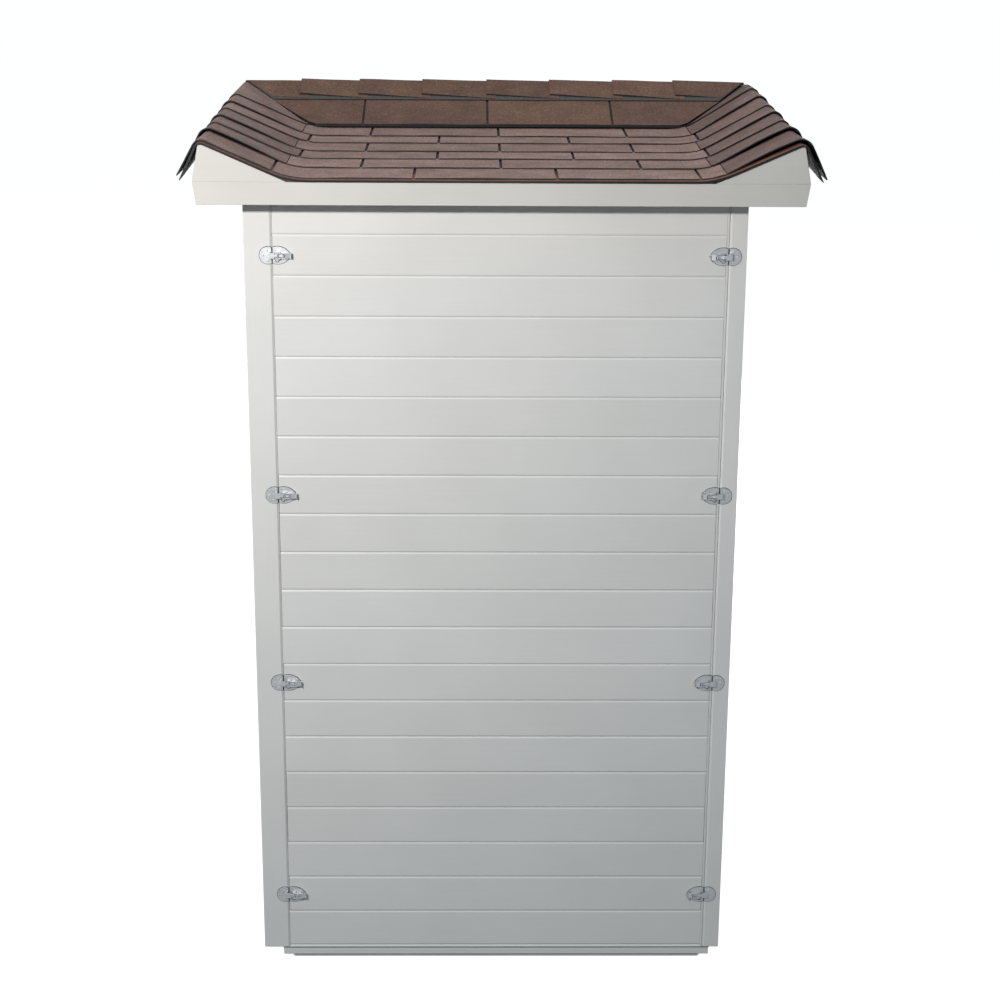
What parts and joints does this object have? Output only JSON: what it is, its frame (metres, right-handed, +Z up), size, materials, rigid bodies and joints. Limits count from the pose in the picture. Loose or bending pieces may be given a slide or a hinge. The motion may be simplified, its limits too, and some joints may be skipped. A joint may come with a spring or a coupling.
{
  "type": "sauna cabin",
  "caption": "Small timber sauna cabin: board-clad walls between corner posts, draw latches on the back wall, and a shingled tray roof with upturned wings.",
  "frame": {"origin": "on the ground, in the middle of the roof's plan", "axes": "+Z up, +Y from the latched back wall to the front, +X to the right seen from the back"},
  "size_m": [1.492, 1.149, 2.176],
  "materials": {
    "painted_timber": "white satin paint",
    "deck_board": "bare sheathing board",
    "asphalt_shingle": "brown mineral granules on bitumen",
    "latch_steel": "bright zinc plated"
  },
  "bodies": {
    "cabin": {"base_runners": "painted_timber", "floor_panel": "painted_timber", "back_wall": "painted_timber", "front_wall": "painted_timber", "left_wall": "painted_timber", "right_wall": "painted_timber", "back_left_post": "painted_timber", "back_right_post": "painted_timber", "front_left_post": "painted_timber", "front_right_post": "painted_timber", "ceiling_panel": "painted_timber", "tray_deck": "deck_board", "back_fascia": "painted_timber", "left_fascia": "painted_timber", "right_fascia": "painted_timber", "front_fascia": "painted_timber", "back_left_gable": "painted_timber", "back_right_gable": "painted_timber", "left_rim_board": "painted_timber", "right_rim_board": "painted_timber", "front_rim_board": "painted_timber", "left_wing_deck": "deck_board", "right_wing_deck": "deck_board", "front_wing_deck": "deck_board", "left_shingle_fold": "asphalt_shingle", "right_shingle_fold": "asphalt_shingle", "front_shingle_fold": "asphalt_shingle", "latch_keepers": "latch_steel", "latch_plates": "latch_steel"},
    "lever_left_1": {"latch_lever_left_1": "latch_steel"},
    "claw_left_1": {"latch_claw_left_1": "latch_steel"},
    "lever_left_2": {"latch_lever_left_2": "latch_steel"},
    "claw_left_2": {"latch_claw_left_2": "latch_steel"},
    "lever_left_3": {"latch_lever_left_3": "latch_steel"},
    "claw_left_3": {"latch_claw_left_3": "latch_steel"},
    "lever_left_4": {"latch_lever_left_4": "latch_steel"},
    "claw_left_4": {"latch_claw_left_4": "latch_steel"},
    "lever_right_1": {"latch_lever_right_1": "latch_steel"},
    "claw_right_1": {"latch_claw_right_1": "latch_steel"},
    "lever_right_2": {"latch_lever_right_2": "latch_steel"},
    "claw_right_2": {"latch_claw_right_2": "latch_steel"},
    "lever_right_3": {"latch_lever_right_3": "latch_steel"},
    "claw_right_3": {"latch_claw_right_3": "latch_steel"},
    "lever_right_4": {"latch_lever_right_4": "latch_steel"},
    "claw_right_4": {"latch_claw_right_4": "latch_steel"}
  },
  "joints": [
    {"name": "lever_left_1_hinge", "type": "hinge", "parent": "cabin", "child": "lever_left_1", "pos_m": [-0.5295, -0.4617, 1.886], "axis": [0, 0, -1], "range_deg": [0, 100]},
    {"name": "claw_left_1_hinge", "type": "hinge", "parent": "lever_left_1", "child": "claw_left_1", "pos_m": [-0.518, -0.4585, 1.886], "axis": [0, 0, -1], "range_deg": [-100, 0]},
    {"name": "lever_left_2_hinge", "type": "hinge", "parent": "cabin", "child": "lever_left_2", "pos_m": [-0.5295, -0.4617, 1.286], "axis": [0, 0, -1], "range_deg": [0, 100]},
    {"name": "claw_left_2_hinge", "type": "hinge", "parent": "lever_left_2", "child": "claw_left_2", "pos_m": [-0.518, -0.4585, 1.286], "axis": [0, 0, -1], "range_deg": [-100, 0]},
    {"name": "lever_left_3_hinge", "type": "hinge", "parent": "cabin", "child": "lever_left_3", "pos_m": [-0.5295, -0.4617, 0.786], "axis": [0, 0, -1], "range_deg": [0, 100]},
    {"name": "claw_left_3_hinge", "type": "hinge", "parent": "lever_left_3", "child": "claw_left_3", "pos_m": [-0.518, -0.4585, 0.786], "axis": [0, 0, -1], "range_deg": [-100, 0]},
    {"name": "lever_left_4_hinge", "type": "hinge", "parent": "cabin", "child": "lever_left_4", "pos_m": [-0.5295, -0.4617, 0.186], "axis": [0, 0, -1], "range_deg": [0, 100]},
    {"name": "claw_left_4_hinge", "type": "hinge", "parent": "lever_left_4", "child": "claw_left_4", "pos_m": [-0.518, -0.4585, 0.186], "axis": [0, 0, -1], "range_deg": [-100, 0]},
    {"name": "lever_right_1_hinge", "type": "hinge", "parent": "cabin", "child": "lever_right_1", "pos_m": [0.5295, -0.4617, 1.886], "axis": [0, 0, 1], "range_deg": [0, 100]},
    {"name": "claw_right_1_hinge", "type": "hinge", "parent": "lever_right_1", "child": "claw_right_1", "pos_m": [0.518, -0.4585, 1.886], "axis": [0, 0, 1], "range_deg": [-100, 0]},
    {"name": "lever_right_2_hinge", "type": "hinge", "parent": "cabin", "child": "lever_right_2", "pos_m": [0.5295, -0.4617, 1.286], "axis": [0, 0, 1], "range_deg": [0, 100]},
    {"name": "claw_right_2_hinge", "type": "hinge", "parent": "lever_right_2", "child": "claw_right_2", "pos_m": [0.518, -0.4585, 1.286], "axis": [0, 0, 1], "range_deg": [-100, 0]},
    {"name": "lever_right_3_hinge", "type": "hinge", "parent": "cabin", "child": "lever_right_3", "pos_m": [0.5295, -0.4617, 0.786], "axis": [0, 0, 1], "range_deg": [0, 100]},
    {"name": "claw_right_3_hinge", "type": "hinge", "parent": "lever_right_3", "child": "claw_right_3", "pos_m": [0.518, -0.4585, 0.786], "axis": [0, 0, 1], "range_deg": [-100, 0]},
    {"name": "lever_right_4_hinge", "type": "hinge", "parent": "cabin", "child": "lever_right_4", "pos_m": [0.5295, -0.4617, 0.186], "axis": [0, 0, 1], "range_deg": [0, 100]},
    {"name": "claw_right_4_hinge", "type": "hinge", "parent": "lever_right_4", "child": "claw_right_4", "pos_m": [0.518, -0.4585, 0.186], "axis": [0, 0, 1], "range_deg": [-100, 0]}
  ],
  "couplings": [
    {"joint": "claw_left_1_hinge", "follows": "lever_left_1_hinge", "ratio": -1},
    {"joint": "claw_left_2_hinge", "follows": "lever_left_2_hinge", "ratio": -1},
    {"joint": "claw_left_3_hinge", "follows": "lever_left_3_hinge", "ratio": -1},
    {"joint": "claw_left_4_hinge", "follows": "lever_left_4_hinge", "ratio": -1},
    {"joint": "claw_right_1_hinge", "follows": "lever_right_1_hinge", "ratio": -1},
    {"joint": "claw_right_2_hinge", "follows": "lever_right_2_hinge", "ratio": -1},
    {"joint": "claw_right_3_hinge", "follows": "lever_right_3_hinge", "ratio": -1},
    {"joint": "claw_right_4_hinge", "follows": "lever_right_4_hinge", "ratio": -1}
  ]
}
